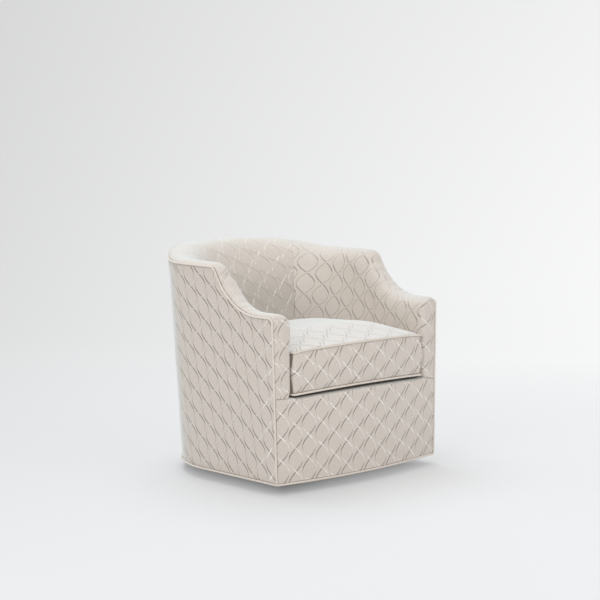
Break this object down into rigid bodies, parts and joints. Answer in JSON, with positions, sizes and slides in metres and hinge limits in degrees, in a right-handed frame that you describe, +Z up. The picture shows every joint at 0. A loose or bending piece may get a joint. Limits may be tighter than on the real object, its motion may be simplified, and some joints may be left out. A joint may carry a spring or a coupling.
{
  "type": "swivel rocker",
  "caption": "Upholstered barrel armchair with swept arms, welted edges and a loose seat cushion, on a hidden base that swivels and rocks.",
  "frame": {"origin": "on the floor, on the swivel axis, below the middle of the chair", "axes": "+Z up, the sitter faces -Y, +X towards the arm on the sitter's left"},
  "size_m": [0.7938, 0.791, 0.775],
  "materials": {
    "cover": "matte",
    "welt": "matte",
    "deck_cloth": "matte",
    "dust_cloth": "matte",
    "timber": "matte",
    "spring_steel": "satin",
    "mechanism_steel": "satin",
    "bearing_steel": "satin",
    "plinth": "satin",
    "glide": "satin"
  },
  "bodies": {
    "base": {"base_plinth": "plinth", "lower_race": "bearing_steel", "glide_1": "glide", "glide_2": "glide", "glide_3": "glide", "glide_4": "glide"},
    "bearing": {"ball_cage": "bearing_steel"},
    "turntable": {"upper_race": "bearing_steel", "pivot_bolt": "bearing_steel", "pivot_nut": "bearing_steel", "left_bed_rail": "mechanism_steel", "right_bed_rail": "mechanism_steel", "front_bed_cross": "mechanism_steel", "back_bed_cross": "mechanism_steel"},
    "chair": {"inside_left_arm": "cover", "inside_right_arm": "cover", "inside_back": "cover", "outside_left_arm": "cover", "outside_right_arm": "cover", "outside_back": "cover", "front_border": "cover", "left_front_welt": "welt", "right_front_welt": "welt", "top_welt": "welt", "bottom_welt": "welt", "deck_pad": "deck_cloth", "dust_cover": "dust_cloth", "seat_spring_1": "spring_steel", "seat_spring_2": "spring_steel", "seat_spring_3": "spring_steel", "seat_spring_4": "spring_steel", "front_bottom_rail": "timber", "left_bottom_rail": "timber", "right_bottom_rail": "timber", "back_bottom_rail": "timber", "front_seat_rail": "timber", "left_seat_rail": "timber", "right_seat_rail": "timber", "back_seat_rail": "timber", "left_front_post": "timber", "right_front_post": "timber", "left_back_post": "timber", "right_back_post": "timber", "left_arm_rail": "timber", "right_arm_rail": "timber", "back_top_rail": "timber", "left_back_slat": "timber", "right_back_slat": "timber", "left_mechanism_board": "timber", "right_mechanism_board": "timber", "left_rocker_cam": "mechanism_steel", "right_rocker_cam": "mechanism_steel", "front_left_coil": "spring_steel", "front_right_coil": "spring_steel", "back_left_coil": "spring_steel", "back_right_coil": "spring_steel"},
    "cushion": {"seat_cushion": "cover", "cushion_top_welt": "welt", "cushion_bottom_welt": "welt"}
  },
  "joints": [
    {"name": "swivel", "type": "hinge", "parent": "base", "child": "turntable", "pos_m": [0, 0, 0.0369], "axis": [0, 0, 1], "continuous": true},
    {"name": "bearing_turn", "type": "hinge", "parent": "base", "child": "bearing", "pos_m": [0, 0, 0.0316], "axis": [0, 0, 1], "continuous": true},
    {"name": "rock", "type": "hinge", "parent": "turntable", "child": "chair", "pos_m": [0, 0, 0.0743], "axis": [1, 0, 0], "range_deg": [-3.5, 3.5], "stiffness_Nm_per_rad": 1500, "springref_deg": -0.69, "deforming": ["front_left_coil", "front_right_coil", "back_left_coil", "back_right_coil"]},
    {"name": "cushion_lift", "type": "slide", "parent": "chair", "child": "cushion", "axis": [0, 0, 1], "range_m": [0, 0.4]}
  ],
  "couplings": [
    {"joint": "bearing_turn", "follows": "swivel", "ratio": 0.5}
  ]
}
